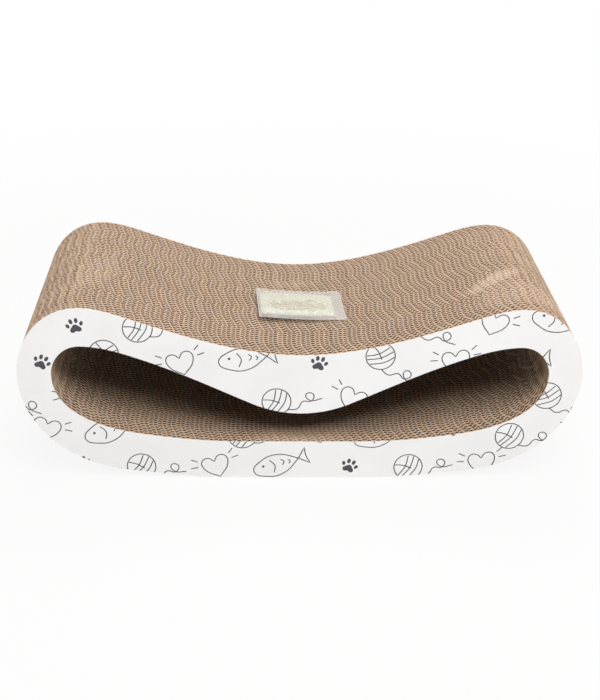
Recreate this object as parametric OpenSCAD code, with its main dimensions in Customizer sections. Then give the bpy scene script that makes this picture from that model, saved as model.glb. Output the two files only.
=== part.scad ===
// Cardboard cat scratcher: a stack of upright ring-shaped corrugated boards between two
// smooth white covers, with a saddle to lie on, a tunnel through it and a loose catnip packet.
// X runs along the scratcher, Y through the stack of boards, Z is up. The origin is on the
// surface that it stands on, under its middle. All lengths are in millimetres.

/* [Body] */
// Length of the scratcher between its widest points
body_length = 470; // [440:1:500]
// Height of the two rounded ends at their tops
lobe_height = 157.5; // [152:0.5:168]
// Distance from the middle to the top of each rounded end
lobe_place = 183; // [176:1:186]
// Height of the saddle at its lowest point
saddle_height = 116; // [108:0.5:126]
// Height of the widest points of the two ends
waist_height = 97; // [92:0.5:102]
// Half the length of the flat strip that the scratcher stands on
foot_half = 50; // [30:1:70]

/* [Tunnel] */
// Thickness of the base under the tunnel
base_wall = 35; // [30:0.5:40]
// Thickness of the board over the tunnel at the tops of the ends
lobe_wall = 34; // [28:0.5:38]
// Thickness of the board at the two ends
end_wall = 28; // [22:0.5:34]
// Height of the tunnel at its narrow middle
neck_gap = 27; // [18:0.5:34]
// Half the length of the flat part of the tunnel's floor
floor_half = 46; // [30:1:60]

/* [Boards] */
// Thickness of one corrugated board
board_thickness = 4; // [3:0.1:5]
// Thickness of each smooth cover sheet
cover_thickness = 1; // [0.5:0.1:2]

/* [Catnip packet] */
// Length of the packet
packet_length = 76; // [64:1:88]
// Width of the packet
packet_width = 64; // [52:1:76]
// Place of the packet's middle along the scratcher
packet_x = 1.5; // [-10:0.5:10]
// Place of the packet's middle through the stack
packet_y = -8.5; // [-30:0.5:30]
// Turn of the packet on the saddle, in degrees
packet_turn = 2.5; // [-20:0.5:20]
// Tilt of the packet along its length, in degrees: its left end stands off the boards
packet_tilt = 3.3; // [0:0.1:6]
// Thickness of the packet's film
film_thickness = 0.2; // [0.1:0.05:0.4]
// Width of the sealed band along the far edge
far_seal = 11; // [6:0.5:14]
// Width of the sealed band along the near edge
near_seal = 8; // [4:0.5:12]
// Width of the sealed band at the left end
left_seal = 4; // [2:0.5:8]
// Width of the sealed band at the right end
right_seal = 8; // [4:0.5:12]
// Height of the filling above the sealed bands
crown_height = 4; // [2:0.5:8]
// Depth of the filling below the sealed bands, where the boards leave room for it
belly_depth = 6; // [1:0.5:6]

/* [Hidden] */
// Gap between the packet and the boards that it lies on
seat_gap = 0.3;

// Counts: boards in the stack, facets in each curved span of an outline, and cells of the
// packet's filling along and across it
board_count = 51;
span_steps = 8;
cells_long = 12;
cells_wide = 10;

// How the filling rises from the sealed bands: 1 is a shallow dome, smaller is plumper
plump_share = 0.55;

// Headings of the outlines' knots in degrees, by the right-hand way round: 0 runs outwards
// along the underside, 90 up the end and 180 back along the top
outward = 0;
upward = 90;
inward = 180;
bilge_heading = 8;
shoulder_heading = 199;
floor_heading = 10;
roof_heading = 200;
throat_heading = 205;

// Knots that stand between named sizes, as shares of the way from one size to the next
bilge_place_share = 0.54;
bilge_height_share = 0.088;
shoulder_place_share = 0.743;
shoulder_height_share = 0.723;
floor_place_share = 0.584;
floor_height_share = 0.137;
roof_place_share = 0.721;
roof_height_share = 0.805;
throat_place_share = 0.23;
throat_height_share = 0.154;

half_length = body_length / 2;
tunnel_half = half_length - end_wall;
neck_roof = base_wall + neck_gap;
tunnel_roof = lobe_height - lobe_wall;
stack_depth = board_count * board_thickness;

board_names = [for (number = [1 : board_count]) str("board_", number < 10 ? "0" : "", number)];

function between(low, high, share) = low + share * (high - low);

// Right halves of the two outlines, from the middle of the underside round to the middle of
// the top. Each knot is its place, its height and its heading.
outer_knots = [
    [foot_half, 0, outward],
    [
        between(foot_half, half_length, bilge_place_share),
        waist_height * bilge_height_share,
        bilge_heading
    ],
    [half_length, waist_height, upward],
    [lobe_place, lobe_height, inward],
    [
        lobe_place * shoulder_place_share,
        between(saddle_height, lobe_height, shoulder_height_share),
        shoulder_heading
    ],
    [0, saddle_height, inward]
];

inner_knots = [
    [floor_half, base_wall, outward],
    [
        between(floor_half, tunnel_half, floor_place_share),
        between(base_wall, waist_height, floor_height_share),
        floor_heading
    ],
    [tunnel_half, waist_height, upward],
    [lobe_place, tunnel_roof, inward],
    [
        lobe_place * roof_place_share,
        between(neck_roof, tunnel_roof, roof_height_share),
        roof_heading
    ],
    [
        lobe_place * throat_place_share,
        between(neck_roof, tunnel_roof, throat_height_share),
        throat_heading
    ],
    [0, neck_roof, inward]
];

// Points of the smooth curve from one knot towards the next, as near to an arc as the two
// headings allow. The last point belongs to the next span.
function span_points(from, to) =
    let (
        start = [from[0], from[1]],
        end = [to[0], to[1]],
        reach = norm(end - start) / (3 * pow(cos((to[2] - from[2]) / 4), 2)),
        leave = start + reach * [cos(from[2]), sin(from[2])],
        arrive = end - reach * [cos(to[2]), sin(to[2])]
    )
    [
        for (step = [0 : span_steps - 1])
        let (t = step / span_steps)
        pow(1 - t, 3) * start + 3 * t * pow(1 - t, 2) * leave
            + 3 * t * t * (1 - t) * arrive + pow(t, 3) * end
    ];

function half_outline(knots) = concat(
    [for (k = [0 : len(knots) - 2]) each span_points(knots[k], knots[k + 1])],
    [[knots[len(knots) - 1][0], knots[len(knots) - 1][1]]]
);

function whole_outline(half) = concat(
    half,
    [for (k = [len(half) - 2 : -1 : 0]) [-half[k][0], half[k][1]]]
);

outer_half = half_outline(outer_knots);
inner_half = half_outline(inner_knots);

// Top of the boards from the middle of the saddle out to the top of the right end
saddle_line = [for (k = [1 : 2 * span_steps + 1]) outer_half[len(outer_half) - k]];

function saddle_top(x) = lookup(abs(x), saddle_line);

// One upright ring plate, with its front face at the given place
module ring_plate(front, thickness) {
    translate([0, front + thickness, 0])
        rotate([90, 0, 0])
            linear_extrude(height = thickness)
                difference() {
                    polygon(whole_outline(outer_half));
                    polygon(whole_outline(inner_half));
                }
}

module front_cover() {
    color("#f2f0ee")
        ring_plate(-stack_depth / 2 - cover_thickness, cover_thickness);
}

module back_cover() {
    color("#f2f0ee")
        ring_plate(stack_depth / 2, cover_thickness);
}

module board(number) {
    color(number % 2 == 0 ? "#c8a67f" : "#bd9a73")
        ring_plate(-stack_depth / 2 + (number - 1) * board_thickness, board_thickness);
}

// Grid lines across the packet: its two edges, and the cells of the filling between them
function grid_places(size, low_seal, high_seal, cells) = concat(
    [-size / 2],
    [for (k = [0 : cells]) between(low_seal - size / 2, size / 2 - high_seal, k / cells)],
    [size / 2]
);

long_places = grid_places(packet_length, left_seal, right_seal, cells_long);
wide_places = grid_places(packet_width, near_seal, far_seal, cells_wide);

// The sealed bands lie in one tilted plane, whose right end rests on the saddle while the
// belly rests in the saddle's middle
packet_reach = abs(packet_x) + packet_length / 2 * cos(packet_turn)
    + packet_width / 2 * abs(sin(packet_turn));
seal_rise = packet_length / 2 * tan(packet_tilt);
seal_middle = saddle_top(packet_reach) + seat_gap + film_thickness + seal_rise;
function seal_level(i) = seal_middle - long_places[i] * tan(packet_tilt);

// Place of a grid corner on the saddle
function packet_place(i, j) = [
    packet_x + long_places[i] * cos(packet_turn) - wide_places[j] * sin(packet_turn),
    packet_y + long_places[i] * sin(packet_turn) + wide_places[j] * cos(packet_turn)
];

// Plumpness over the filling, from 0 on the sealed bands to 1 in the middle
function plumpness(i, j) =
    let (
        along = (i - 1) / cells_long,
        across = (j - 1) / cells_wide,
        inside = along > 0 && along < 1 && across > 0 && across < 1
    )
    inside ? pow(16 * along * (1 - along) * across * (1 - across), plump_share) : 0;

function crown_level(i, j) = seal_level(i) + crown_height * plumpness(i, j);

function belly_level(i, j) = max(
    seal_level(i) - belly_depth * plumpness(i, j),
    min(seal_level(i), saddle_top(packet_place(i, j)[0]) + seat_gap + film_thickness)
);

// A soft sheet or pad over the packet's grid: rows and columns of top levels and bottom levels
module packet_layer(rows, columns, tops, bottoms) {
    row_count = len(rows);
    column_count = len(columns);
    under = row_count * column_count;
    function corner(r, c) = r * column_count + c;
    points = concat(
        [for (r = [0 : row_count - 1], c = [0 : column_count - 1])
            concat(packet_place(rows[r], columns[c]), [tops[r][c]])],
        [for (r = [0 : row_count - 1], c = [0 : column_count - 1])
            concat(packet_place(rows[r], columns[c]), [bottoms[r][c]])]
    );
    top_faces = [
        for (r = [0 : row_count - 2], c = [0 : column_count - 2])
        each [
            [corner(r, c), corner(r, c + 1), corner(r + 1, c + 1)],
            [corner(r, c), corner(r + 1, c + 1), corner(r + 1, c)]
        ]
    ];
    bottom_faces = [for (f = top_faces) [under + f[0], under + f[2], under + f[1]]];
    // The corners round the rim, anticlockwise from above
    rim = concat(
        [for (r = [0 : row_count - 2]) corner(r, 0)],
        [for (c = [0 : column_count - 2]) corner(row_count - 1, c)],
        [for (r = [row_count - 1 : -1 : 1]) corner(r, column_count - 1)],
        [for (c = [column_count - 1 : -1 : 1]) corner(0, c)]
    );
    side_faces = [
        for (k = [0 : len(rim) - 1])
        let (here = rim[k], next = rim[(k + 1) % len(rim)])
        each [
            [here, next, under + next],
            [here, under + next, under + here]
        ]
    ];
    polyhedron(points = points, faces = concat(top_faces, bottom_faces, side_faces));
}

sheet_rows = [for (i = [0 : len(long_places) - 1]) i];
sheet_columns = [for (j = [0 : len(wide_places) - 1]) j];
filling_rows = [for (i = [2 : cells_long]) i];
filling_columns = [for (j = [2 : cells_wide]) j];

module packet_top_film() {
    color("#e6e6da", 0.6)
        packet_layer(
            sheet_rows,
            sheet_columns,
            [for (i = sheet_rows) [for (j = sheet_columns) crown_level(i, j) + film_thickness]],
            [for (i = sheet_rows) [for (j = sheet_columns) crown_level(i, j)]]
        );
}

module packet_bottom_film() {
    color("#dcdcd0", 0.6)
        packet_layer(
            sheet_rows,
            sheet_columns,
            [for (i = sheet_rows) [for (j = sheet_columns) belly_level(i, j)]],
            [for (i = sheet_rows) [for (j = sheet_columns) belly_level(i, j) - film_thickness]]
        );
}

module catnip_filling() {
    color("#b9b37c")
        packet_layer(
            filling_rows,
            filling_columns,
            [for (i = filling_rows) [for (j = filling_columns) crown_level(i, j)]],
            [for (i = filling_rows) [for (j = filling_columns) belly_level(i, j)]]
        );
}

front_cover();
for (number = [1 : board_count])
    board(number);
back_cover();
packet_bottom_film();
catnip_filling();
packet_top_film();
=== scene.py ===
"""Cardboard cat scratcher with a catnip packet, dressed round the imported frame.

The scratcher is a stack of die-cut rings of corrugated board between two white printed covers.
Everything is in metres, with the origin under the middle of the scratcher.
"""

import logging
import math
import random
from contextlib import contextmanager
from dataclasses import dataclass
from enum import Enum
from functools import cached_property
from itertools import product
from typing import Any, Callable, Iterator, Mapping, Sequence

import bpy
from mathutils import Matrix, Vector, noise


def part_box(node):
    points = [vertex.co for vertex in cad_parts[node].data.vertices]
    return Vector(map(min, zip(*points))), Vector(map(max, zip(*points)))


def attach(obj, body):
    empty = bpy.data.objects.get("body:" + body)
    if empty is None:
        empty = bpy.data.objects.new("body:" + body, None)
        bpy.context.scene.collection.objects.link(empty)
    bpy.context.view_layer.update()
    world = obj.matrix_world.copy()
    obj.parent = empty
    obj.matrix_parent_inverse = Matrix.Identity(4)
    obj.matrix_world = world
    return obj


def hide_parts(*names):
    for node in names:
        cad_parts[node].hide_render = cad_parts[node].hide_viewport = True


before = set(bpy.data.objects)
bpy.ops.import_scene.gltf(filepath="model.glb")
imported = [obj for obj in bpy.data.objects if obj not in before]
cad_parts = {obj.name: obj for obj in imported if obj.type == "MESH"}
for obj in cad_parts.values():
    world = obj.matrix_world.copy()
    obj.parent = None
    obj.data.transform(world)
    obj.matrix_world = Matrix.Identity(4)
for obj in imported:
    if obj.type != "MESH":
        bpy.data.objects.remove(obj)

LOG = logging.getLogger("cat_scratcher")
MM = 0.001
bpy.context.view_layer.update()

SCRATCHER = "scratcher"
PACKET = "packet"

Piece = bpy.types.Object
Face = bpy.types.MeshPolygon
Material = bpy.types.Material
Socket = bpy.types.NodeSocket
Pair = tuple[float, float]
Values = Mapping[str | int, Any]


def srgb(code: str) -> tuple[float, float, float, float]:
    """A colour that is written as an sRGB hex code, as Blender's linear one."""
    parts = [int(code[k : k + 2], 16) / 255 for k in (1, 3, 5)]
    linear = [p / 12.92 if p <= 0.04045 else ((p + 0.055) / 1.055) ** 2.4 for p in parts]
    return (linear[0], linear[1], linear[2], 1.0)


def corner_of(node: str, which: int) -> Vector:
    """The lowest (0) or the highest (1) corner of a node of the frame."""
    return Vector(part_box(node)[which])


class Wire:
    """A socket of numbers whose sums, differences, products and quotients add Math nodes."""

    def __init__(self, paint: "Paint", socket: Socket) -> None:
        """Keeps the socket and the material that it belongs to."""
        self.paint = paint
        self.socket = socket

    def maths(self, operation: str, *others: "Wire | float") -> "Wire":
        """Adds one Math node that works on this socket and the others.

        Args:
            operation: Name of the Math node's operation.
            others: The other operands.

        Returns:
            The node's result.
        """
        return self.paint.sum_up(operation, self, *others)

    def __add__(self, other: "Wire | float") -> "Wire":
        """This plus the other."""
        return self.maths("ADD", other)

    def __sub__(self, other: "Wire | float") -> "Wire":
        """This minus the other."""
        return self.maths("SUBTRACT", other)

    def __rsub__(self, other: float) -> "Wire":
        """The other minus this."""
        return self.paint.sum_up("SUBTRACT", other, self)

    def __mul__(self, other: "Wire | float") -> "Wire":
        """This times the other."""
        return self.maths("MULTIPLY", other)

    def __truediv__(self, other: "Wire | float") -> "Wire":
        """This over the other."""
        return self.maths("DIVIDE", other)

    def smooth(self, low: float, high: float) -> "Wire":
        """Rises smoothly from 0 at low to 1 at high."""
        settings = {"interpolation_type": "SMOOTHSTEP"}
        inputs = {"Value": self, "From Min": low, "From Max": high}
        return self.paint.wire("ShaderNodeMapRange", settings, inputs)

    def spread(self, low: float, high: float) -> "Wire":
        """Goes from low to high as this goes from 0 to 1."""
        return self * (high - low) + low

    def waves(self, length: float) -> "Wire":
        """Swings between 0 and 1, once in each length along this."""
        return (self * (math.tau / length)).maths("SINE") * 0.5 + 0.5


class Paint:
    """A material or world under construction, every node of which comes from one method."""

    def __init__(self, owner: Material | bpy.types.World) -> None:
        """Starts on a material's or a world's own first nodes."""
        owner.use_nodes = True
        self.owner = owner
        self.tree = owner.node_tree

    @classmethod
    def named(cls, name: str) -> "Paint":
        """A new material with its Principled shader."""
        return cls(bpy.data.materials.new(name))

    @property
    def surface(self) -> bpy.types.Node:
        """The Principled shader."""
        return self.tree.nodes["Principled BSDF"]

    def node(
        self, kind: str, settings: Values | None = None, inputs: Values | None = None
    ) -> bpy.types.Node:
        """Adds a node.

        Args:
            kind: Type of the node.
            settings: Its properties, which are set first.
            inputs: Values or links of its sockets, by name or number.

        Returns:
            The new node.
        """
        node = self.tree.nodes.new(kind)
        for key, value in (settings or {}).items():
            setattr(node, key, value)
        for key, value in (inputs or {}).items():
            self.feed(node.inputs[key], value)
        return node

    def feed(self, socket: Socket, value: Any) -> None:
        """Links a wire or another node's socket to a socket, or sets the socket's value."""
        if isinstance(value, Wire):
            value = value.socket
        if isinstance(value, Socket):
            self.tree.links.new(value, socket)
        else:
            socket.default_value = value

    def wire(self, kind: str, settings: Values | None = None, inputs: Values | None = None) -> Wire:
        """Adds a node and returns its first output as a wire. The arguments are node's."""
        return Wire(self, self.node(kind, settings, inputs).outputs[0])

    def sum_up(self, operation: str, *operands: Wire | float) -> Wire:
        """One Math node on the operands."""
        return self.wire("ShaderNodeMath", {"operation": operation}, dict(enumerate(operands)))

    def place(self) -> Socket:
        """Object coordinates, which are the frame's own metres."""
        return self.node("ShaderNodeTexCoord").outputs["Object"]

    def split(self, vector: Socket) -> tuple[Wire, Wire, Wire]:
        """The three parts of a vector."""
        outputs = self.node("ShaderNodeSeparateXYZ", None, {0: vector}).outputs
        return (Wire(self, outputs[0]), Wire(self, outputs[1]), Wire(self, outputs[2]))

    def stretched(self, vector: Socket, scale: Sequence[float]) -> Socket:
        """A vector with each of its parts scaled."""
        return self.node("ShaderNodeMapping", None, {"Vector": vector, "Scale": scale}).outputs[0]

    def noise(self, vector: Socket, size: float, detail: float = 3.0) -> Wire:
        """Noise from 0 to 1 whose lumps are about the given size in metres."""
        inputs = {"Vector": vector, "Scale": 1 / size, "Detail": detail}
        return self.wire("ShaderNodeTexNoise", None, inputs)

    def mix(self, share: Wire | float, first: Any, second: Any) -> Socket:
        """A colour that goes from the first to the second as share goes from 0 to 1."""
        inputs = {0: share, 6: first, 7: second}
        return self.node("ShaderNodeMix", {"data_type": "RGBA"}, inputs).outputs[2]

    def bump(self, height: Wire, depth: float, strength: float = 1.0) -> Socket:
        """A surface normal bumped by a height from 0 to 1 that is worth depth metres."""
        inputs = {"Height": height, "Distance": depth, "Strength": strength}
        return self.node("ShaderNodeBump", None, inputs).outputs[0]

    def shown(self) -> Wire:
        """1 for the rays by which the background is seen, straight, mirrored or through glass."""
        path = self.node("ShaderNodeLightPath").outputs
        rays = ("Is Camera Ray", "Is Glossy Ray", "Is Transmission Ray")
        camera, glossy, through = (Wire(self, path[ray]) for ray in rays)
        return camera.maths("MAXIMUM", glossy).maths("MAXIMUM", through)

    def curve(self, value: Wire, points: Sequence[Pair], reach: float) -> Wire:
        """A function given by points, which may lie up to reach from 0 both ways.

        Args:
            value: Where it is read.
            points: Places and values, by rising place.
            reach: The largest place and the largest value.

        Returns:
            The value there.
        """
        node = self.node("ShaderNodeFloatCurve", None, {"Value": value / reach})
        line = node.mapping.curves[0]
        for point, (x, y) in zip(line.points, (points[0], points[-1])):
            point.location = (x / reach, y / reach)
        for x, y in points[1:-1]:
            line.points.new(x / reach, y / reach)
        for point in line.points:
            point.handle_type = "VECTOR"
        node.mapping.update()
        return Wire(self, node.outputs[0]) * reach

    def finish(
        self, colour: Any, roughness: Wire | float, shine: float, **others: Wire | Socket
    ) -> Material:
        """Sets the shader's sockets.

        Args:
            colour: The base colour.
            roughness: From 0, a mirror, to 1.
            shine: Level of the mirrored light.
            others: What other sockets get, by their names.

        Returns:
            The material.
        """
        first = {"Base Color": colour, "Roughness": roughness, "Specular IOR Level": shine}
        for key, value in {**first, **others}.items():
            self.feed(self.surface.inputs[key], value)
        return self.owner


class Bench:
    """Hand moves that every piece shares."""

    @staticmethod
    def only(*pieces: Piece) -> None:
        """Selects these pieces alone, the first as the active one."""
        bpy.ops.object.select_all(action="DESELECT")
        for piece in pieces:
            piece.select_set(True)
        bpy.context.view_layer.objects.active = pieces[0]

    @staticmethod
    @contextmanager
    def editing(piece: Piece, select: str = "") -> Iterator[None]:
        """Edit mode on one piece, with all of it selected or none if that is asked for."""
        Bench.only(piece)
        bpy.ops.object.mode_set(mode="EDIT")
        if select:
            bpy.ops.mesh.select_all(action=select)
        yield
        bpy.ops.object.mode_set(mode="OBJECT")

    @staticmethod
    def settle(piece: Piece) -> None:
        """Puts the piece's place, turn and scale into its mesh."""
        piece.data.transform(piece.matrix_basis)
        piece.matrix_basis = Matrix.Identity(4)

    @staticmethod
    def mesh(piece: Piece) -> Piece:
        """Turns a curve into a mesh with its place in it."""
        Bench.only(piece)
        bpy.ops.object.convert(target="MESH")
        made = bpy.context.object
        Bench.settle(made)
        return made

    @staticmethod
    def close(piece: Piece, distance: float = 0.001 * MM) -> None:
        """Merges doubles and points every face outwards."""
        with Bench.editing(piece, "SELECT"):
            bpy.ops.mesh.remove_doubles(threshold=distance)
            bpy.ops.mesh.normals_make_consistent(inside=False)

    @staticmethod
    def cut_away(piece: Piece, doomed: Callable[[Face], bool]) -> None:
        """Deletes the faces that a test picks out."""
        with Bench.editing(piece):
            bpy.ops.mesh.select_all(action="DESELECT")
        for face in piece.data.polygons:
            face.select = doomed(face)
        with Bench.editing(piece):
            bpy.ops.mesh.delete(type="FACE")

    @staticmethod
    def copy(piece: Piece, name: str) -> Piece:
        """A copy with a mesh of its own."""
        twin = piece.copy()
        twin.data = piece.data.copy()
        twin.name = name
        twin.data.name = name
        bpy.context.collection.objects.link(twin)
        return twin

    @staticmethod
    def join(pieces: Sequence[Piece], name: str) -> Piece:
        """One piece made of several."""
        Bench.only(*pieces)
        bpy.ops.object.join()
        pieces[0].name = name
        pieces[0].data.name = name
        return pieces[0]

    @staticmethod
    def modify(piece: Piece, kind: str, **settings: Any) -> None:
        """Adds a modifier, sets it and applies it."""
        modifier = piece.modifiers.new(kind.title(), kind)
        for key, value in settings.items():
            setattr(modifier, key, value)
        Bench.only(piece)
        bpy.ops.object.modifier_apply(modifier=modifier.name)

    @staticmethod
    def keep_inside(piece: Piece, cutter: Piece) -> None:
        """Keeps the share of a closed piece that lies inside the cutter."""
        Bench.modify(piece, "BOOLEAN", operation="INTERSECT", object=cutter, solver="MANIFOLD")

    @staticmethod
    def discard(*pieces: Piece) -> None:
        """Deletes pieces that were only stock or tools."""
        for piece in pieces:
            bpy.data.objects.remove(piece, do_unlink=True)

    @staticmethod
    def dress(piece: Piece, *materials: Material) -> None:
        """Gives a piece these materials, in the order of its faces' numbers."""
        # The list is not cleared, because that would number every face 0
        slots = piece.data.materials
        while len(slots) > len(materials):
            slots.pop(index=len(slots) - 1)
        for number, material in enumerate(materials):
            if number < len(slots):
                slots[number] = material
            else:
                slots.append(material)

    @staticmethod
    def number(piece: Piece, number: int) -> None:
        """Gives every face of a piece the same material number."""
        for face in piece.data.polygons:
            face.material_index = number


@dataclass(frozen=True)
class Knot:
    """A point of an outline, and the heading in degrees of the outline there."""

    across: float
    up: float
    heading: float

    def mirrored(self) -> "Knot":
        """The same knot on the left half."""
        return Knot(-self.across, self.up, -self.heading)

    def reach(self, after: "Knot") -> float:
        """Length of the handles that bring a span from here to the next knot nearest to an arc."""
        turn = math.radians((after.heading - self.heading + 180) % 360 - 180)
        chord = math.dist((self.across, self.up), (after.across, after.up))
        return chord / (3 * math.cos(turn / 4) ** 2)

    def towards(self, reach: float) -> tuple[float, float, float]:
        """The point that lies reach ahead along the heading, behind it if negative."""
        angle = math.radians(self.heading)
        return (self.across + reach * math.cos(angle), self.up + reach * math.sin(angle), 0.0)


@dataclass(frozen=True)
class RingOutline:
    """The die-cut outline of every sheet: the right halves, from the underside round to the top."""

    outer: tuple[Knot, ...] = (
        Knot(50 * MM, 0, 0),
        Knot(149.9 * MM, 8.5 * MM, 8),
        Knot(235 * MM, 97 * MM, 90),
        Knot(183 * MM, 157.5 * MM, 180),
        Knot(136 * MM, 146 * MM, 199),
        Knot(0, 116 * MM, 180),
    )
    inner: tuple[Knot, ...] = (
        Knot(46 * MM, 35 * MM, 0),
        Knot(140 * MM, 43.5 * MM, 10),
        Knot(207 * MM, 97 * MM, 90),
        Knot(183 * MM, 123.5 * MM, 180),
        Knot(132 * MM, 111.5 * MM, 200),
        Knot(42 * MM, 71.5 * MM, 205),
        Knot(0, 62 * MM, 180),
    )
    widest: int = 2
    peak: int = 3
    steps: int = 12
    unit: float = 1 * MM

    def plate(self) -> Piece:
        """A ring plate one unit thick, upright, with its mid plane at y = 0.

        Returns:
            The plate, with its rims numbered 1 and its two faces 0.
        """
        bpy.ops.curve.primitive_bezier_circle_add()
        ring = bpy.context.object
        ring.data.splines.clear()
        for half in (self.outer, self.inner):
            self._trace(ring.data, [*half, *(knot.mirrored() for knot in reversed(half[:-1]))])
        ring.data.dimensions = "2D"
        ring.data.fill_mode = "BOTH"
        ring.data.extrude = self.unit / 2
        ring.data.resolution_u = self.steps
        ring.rotation_euler = (math.pi / 2, 0, 0)
        plate = Bench.mesh(ring)
        Bench.close(plate)
        for face in plate.data.polygons:
            face.material_index = int(abs(face.normal.y) < 0.5)
        return plate

    @staticmethod
    def _trace(curve: bpy.types.Curve, knots: Sequence[Knot]) -> None:
        """Adds one closed spline through the knots, each span as near to an arc as can be."""
        spline = curve.splines.new("BEZIER")
        spline.bezier_points.add(len(knots) - 1)
        spline.use_cyclic_u = True
        points = spline.bezier_points
        for point, knot in zip(points, knots):
            point.co = knot.towards(0)
            point.handle_left_type = point.handle_right_type = "FREE"
        for k, knot in enumerate(knots):
            following = (k + 1) % len(knots)
            reach = knot.reach(knots[following])
            points[k].handle_right = knot.towards(reach)
            points[following].handle_left = knots[following].towards(-reach)

    def walk(self, knots: Sequence[Knot], steps: int = 8) -> list[Pair]:
        """Points along the spans between some neighbouring knots, as distance and height."""
        points = []
        for start, end in zip(knots, knots[1:]):
            for step in range(steps):
                point = self._on_span(start, end, step / steps)
                points.append((point.x, point.y))
        return [*points, (knots[-1].across, knots[-1].up)]

    @staticmethod
    def _on_span(start: Knot, end: Knot, share: float) -> Vector:
        """The point at a share of the way from one knot to the next."""
        reach, rest = start.reach(end), 1 - share
        corners = (start.towards(0), start.towards(reach), end.towards(-reach), end.towards(0))
        weights = (rest**3, 3 * rest**2 * share, 3 * rest * share**2, share**3)
        return sum((w * Vector(c) for w, c in zip(weights, corners)), Vector())

    def saddle(self, across: float, halvings: int = 24) -> float:
        """Height of the saddle's top at a distance from its middle, up to its steep ends."""
        start, end = self.outer[-2:]
        low, high = 0.0, 1.0
        point = Vector()
        for _ in range(halvings):
            share = (low + high) / 2
            point = self._on_span(start, end, share)
            if point.x > abs(across):
                low = share
            else:
                high = share
        return point.y

    def sheet(self, plate: Piece, name: str, front: float, back: float) -> Piece:
        """A copy of the plate.

        Args:
            plate: The ring, one unit thick.
            name: What to call the copy.
            front: Depth of its front face.
            back: Depth of its back face.

        Returns:
            The copy.
        """
        sheet = Bench.copy(plate, name)
        sheet.scale.y = (back - front) / self.unit
        sheet.location.y = (front + back) / 2
        Bench.settle(sheet)
        return sheet


@dataclass(frozen=True)
class Scuff:
    """An oval patch on top of the boards where the cut edges are rubbed pale and flat."""

    across: float
    back: float
    half_length: float
    half_width: float
    turn: float
    strength: float
    raggedness: float = 1.6
    fade: Pair = (1.0, 2.1)
    from_height: Pair = (100 * MM, 112 * MM)

    def mask(self, paint: Paint, place: Socket, ragged: Wire) -> Wire:
        """How rubbed a point is, from 0 to 1.

        Args:
            paint: The material.
            place: Object coordinates.
            ragged: Noise that breaks up the patch's rim.

        Returns:
            The mask.
        """
        x, y, z = paint.split(place)
        cosine = math.cos(math.radians(self.turn))
        sine = math.sin(math.radians(self.turn))
        along = ((x - self.across) * cosine + (y - self.back) * sine) / self.half_length
        aside = ((y - self.back) * cosine - (x - self.across) * sine) / self.half_width
        reach = along * along + aside * aside + ragged * self.raggedness
        return (1.0 - reach.smooth(*self.fade)) * z.smooth(*self.from_height) * self.strength


@dataclass(frozen=True)
class PaintedFluteShade:
    """Painted shade in the flutes, from how far a place on the papers lies below the nearest cut rim of
    the ring.
    """

    outline: RingOutline
    # Painted shade starts at the first of these distances below the rim and is full at the second
    light: float = 0.25 * MM
    dark: float = 0.78 * MM
    reach: float = 240 * MM
    apart: float = 1000 * MM

    def mask(self, paint: Paint, place: Socket) -> Wire:
        """How much painted shade a place gets inside a flute.

        Args:
            paint: The material.
            place: Object coordinates.

        Returns:
            0, no painted shade, at a cut rim, and 1, full painted shade, well below it.
        """
        x, _, z = paint.split(place)
        across = x.maths("ABSOLUTE")
        outer, inner = self.outline.outer, self.outline.inner
        widest, peak = self.outline.widest, self.outline.peak
        lower, upper, side = slice(widest + 1), slice(widest, None), slice(peak + 1)
        rim = self._line(paint, across, outer[upper]) - z
        rim = rim.maths("MINIMUM", z - self._line(paint, across, outer[lower]))
        rim = rim.maths("MINIMUM", self._line(paint, z, outer[side], upright=True) - across)
        roof = (z - self._line(paint, across, inner[upper])).maths("ABSOLUTE")
        floor = (z - self._line(paint, across, inner[lower])).maths("ABSOLUTE")
        end = (across - self._line(paint, z, inner[side], upright=True)).maths("ABSOLUTE")
        beyond = across.maths("GREATER_THAN", inner[widest].across) * self.apart
        under = z.maths("LESS_THAN", inner[0].up) * self.apart
        over = z.maths("GREATER_THAN", inner[peak].up) * self.apart
        hole = (roof.maths("MINIMUM", floor) + beyond).maths("MINIMUM", end + under + over)
        return rim.maths("MINIMUM", hole).smooth(self.light, self.dark)

    def _line(self, paint: Paint, value: Wire, knots: Sequence[Knot], upright: bool = False) -> Wire:
        """Height of a stretch of the outline over its distance from the middle, or the reverse."""
        points = sorted(point[::-1] if upright else point for point in self.outline.walk(knots))
        return paint.curve(value, points, self.reach)


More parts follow.
